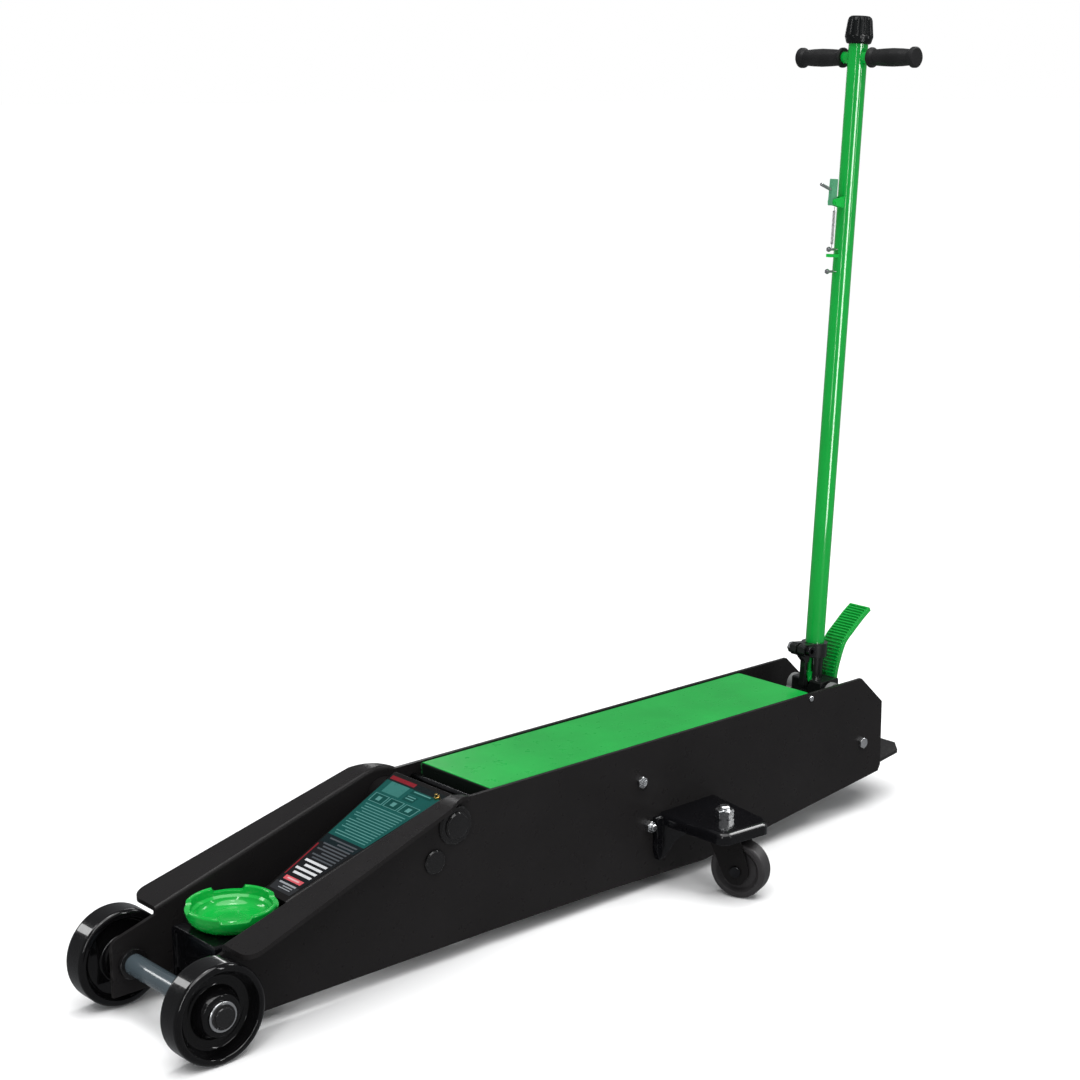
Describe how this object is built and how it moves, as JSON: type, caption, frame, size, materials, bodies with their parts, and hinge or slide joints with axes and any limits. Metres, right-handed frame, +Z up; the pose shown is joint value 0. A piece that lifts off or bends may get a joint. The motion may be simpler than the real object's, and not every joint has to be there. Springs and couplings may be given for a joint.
{
  "type": "trolley jack",
  "caption": "Long-chassis hydraulic trolley jack with a green saddle on a level-keeping lift arm, front wheels, swivel casters, pump handle and foot pedal",
  "frame": {"origin": "on the floor, under the middle of the bounding box", "axes": "+Z up; +X along the jack towards the handle, so the saddle end is -X; +Y to the jack's right, seen from the handle facing the saddle, and the left side plate is at -Y"},
  "size_m": [1.436, 0.4604, 1.2514],
  "materials": {
    "black_paint": "satin black powder coat",
    "wheel_casting": "gloss black enamel on a casting",
    "green_paint": "gloss green enamel",
    "green_casting": "gloss green enamel on a casting",
    "unit_paint": "satin black paint",
    "unit_casting": "painted casting",
    "socket_casting": "black painted casting",
    "black_steel": "oiled black steel",
    "zinc": "bright zinc plate",
    "ground_steel": "ground steel",
    "spring_steel": "drawn spring wire",
    "chrome": "polished hard chrome",
    "brass": "turned brass",
    "rubber": "matte moulded rubber",
    "knob_plastic": "satin moulded plastic",
    "caster_tread": "dark grey moulded nylon"
  },
  "bodies": {
    "chassis": {"left_side_plate": "black_paint", "right_side_plate": "black_paint", "front_axle": "black_paint", "axle_rings": "black_steel", "axle_washers": "zinc", "arm_pivot_shaft": "black_steel", "pivot_shaft_rings": "black_steel", "link_pins": "black_steel", "front_stay_rod": "black_steel", "ram_cylinder": "unit_paint", "unit_front_support": "unit_casting", "reservoir": "unit_paint", "unit_plugs": "zinc", "pump_block": "unit_casting", "socket_pivot_pin": "zinc", "rear_cover": "green_paint", "cover_screws": "zinc", "chassis_bolts": "zinc", "rear_plate": "black_paint", "left_caster_bracket": "black_paint", "right_caster_bracket": "black_paint", "caster_king_bolts": "zinc", "return_springs": "spring_steel"},
    "left_front_wheel": {"left_front_wheel": "wheel_casting"},
    "right_front_wheel": {"right_front_wheel": "wheel_casting"},
    "lift_arm": {"lift_arm": "black_paint", "arm_pivot_tube": "black_paint", "arm_crank_plates": "black_paint", "arm_brace": "black_paint", "crank_pin": "black_steel", "grease_nipple": "brass"},
    "saddle_bracket": {"saddle_bracket": "black_paint", "bracket_front_plate": "black_paint", "bracket_cross_tube": "black_paint", "bracket_upper_pin": "black_steel", "bracket_lower_pin": "black_steel"},
    "saddle": {"saddle": "green_casting"},
    "level_links": {"left_level_link": "black_paint", "right_level_link": "black_paint"},
    "ram": {"ram": "chrome"},
    "handle": {"handle_socket": "socket_casting", "socket_bolts": "black_steel", "handle_tube": "green_paint", "t_bar": "green_paint", "left_grip": "rubber", "right_grip": "rubber", "tube_lugs": "green_paint", "foot_pedal": "green_casting", "lever_spring": "spring_steel"},
    "lock_lever": {"lock_lever": "green_paint"},
    "release": {"release_rod": "green_paint", "release_knob": "knob_plastic"},
    "release_valve": {"release_valve": "zinc"},
    "pump_plunger": {"pump_plunger": "ground_steel"},
    "left_caster": {"left_caster_fork": "black_paint", "left_caster_bolt": "zinc"},
    "left_caster_wheel": {"left_caster_wheel": "caster_tread"},
    "right_caster": {"right_caster_fork": "black_paint", "right_caster_bolt": "zinc"},
    "right_caster_wheel": {"right_caster_wheel": "caster_tread"}
  },
  "joints": [
    {"name": "left_front_wheel_axle", "type": "hinge", "parent": "chassis", "child": "left_front_wheel", "pos_m": [-0.653, -0.1132, 0.065], "axis": [0, 1, 0], "continuous": true},
    {"name": "right_front_wheel_axle", "type": "hinge", "parent": "chassis", "child": "right_front_wheel", "pos_m": [-0.653, 0.1132, 0.065], "axis": [0, 1, 0], "continuous": true},
    {"name": "lift_arm_pivot", "type": "hinge", "parent": "chassis", "child": "lift_arm", "pos_m": [-0.248, 0, 0.193], "axis": [0, 1, 0], "range_deg": [0, 80]},
    {"name": "saddle_bracket_pivot", "type": "hinge", "parent": "lift_arm", "child": "saddle_bracket", "pos_m": [-0.55556, 0, 0.07617], "axis": [0, 1, 0], "range_deg": [-80, 0]},
    {"name": "level_link_pivot", "type": "hinge", "parent": "chassis", "child": "level_links", "pos_m": [-0.284, 0, 0.15], "axis": [0, 1, 0], "range_deg": [0, 80]},
    {"name": "saddle_turn", "type": "hinge", "parent": "saddle_bracket", "child": "saddle", "pos_m": [-0.54906, 0, 0.118], "axis": [0, 0, 1], "continuous": true},
    {"name": "ram_slide", "type": "slide", "parent": "chassis", "child": "ram", "axis": [-1, 0, 0], "range_m": [0, 0.1445], "deforming": ["return_springs"]},
    {"name": "handle_pivot", "type": "hinge", "parent": "chassis", "child": "handle", "pos_m": [0.569, 0, 0.196], "axis": [0, 1, 0], "range_deg": [0, 55], "stiffness_Nm_per_rad": 18, "springref_deg": -25.78},
    {"name": "pump_stroke", "type": "slide", "parent": "chassis", "child": "pump_plunger", "axis": [-1, 0, 0], "range_m": [0, 0.0349]},
    {"name": "release_turn", "type": "hinge", "parent": "handle", "child": "release", "pos_m": [0.63757, 0, 1.2102], "axis": [0.083, 0, 0.9966], "range_deg": [0, 180]},
    {"name": "release_valve_turn", "type": "hinge", "parent": "chassis", "child": "release_valve", "pos_m": [0.533, 0.023, 0.16], "axis": [0, 0, 1], "range_deg": [0, 180]},
    {"name": "lock_lever_pivot", "type": "hinge", "parent": "handle", "child": "lock_lever", "pos_m": [0.5863, 0, 0.97235], "axis": [0, -1, 0], "range_deg": [0, 12], "stiffness_Nm_per_rad": 1, "springref_deg": -17.19},
    {"name": "left_caster_swivel", "type": "hinge", "parent": "chassis", "child": "left_caster", "pos_m": [0.191, -0.1615, 0.1], "axis": [0, 0, 1], "continuous": true},
    {"name": "left_caster_wheel_axle", "type": "hinge", "parent": "left_caster", "child": "left_caster_wheel", "pos_m": [0.20023, -0.18687, 0.042], "axis": [0.9397, 0.342, 0], "continuous": true},
    {"name": "right_caster_swivel", "type": "hinge", "parent": "chassis", "child": "right_caster", "pos_m": [0.191, 0.1615, 0.1], "axis": [0, 0, 1], "continuous": true},
    {"name": "right_caster_wheel_axle", "type": "hinge", "parent": "right_caster", "child": "right_caster_wheel", "pos_m": [0.20023, 0.18687, 0.042], "axis": [0.9397, -0.342, 0], "continuous": true}
  ],
  "couplings": [
    {"joint": "saddle_bracket_pivot", "follows": "lift_arm_pivot", "ratio": -1},
    {"joint": "level_link_pivot", "follows": "lift_arm_pivot", "ratio": 1},
    {"joint": "ram_slide", "follows": "lift_arm_pivot", "m_per_rad": 0.10312},
    {"joint": "pump_stroke", "follows": "handle_pivot", "m_per_rad": 0.036},
    {"joint": "release_valve_turn", "follows": "release_turn", "ratio": 1}
  ]
}
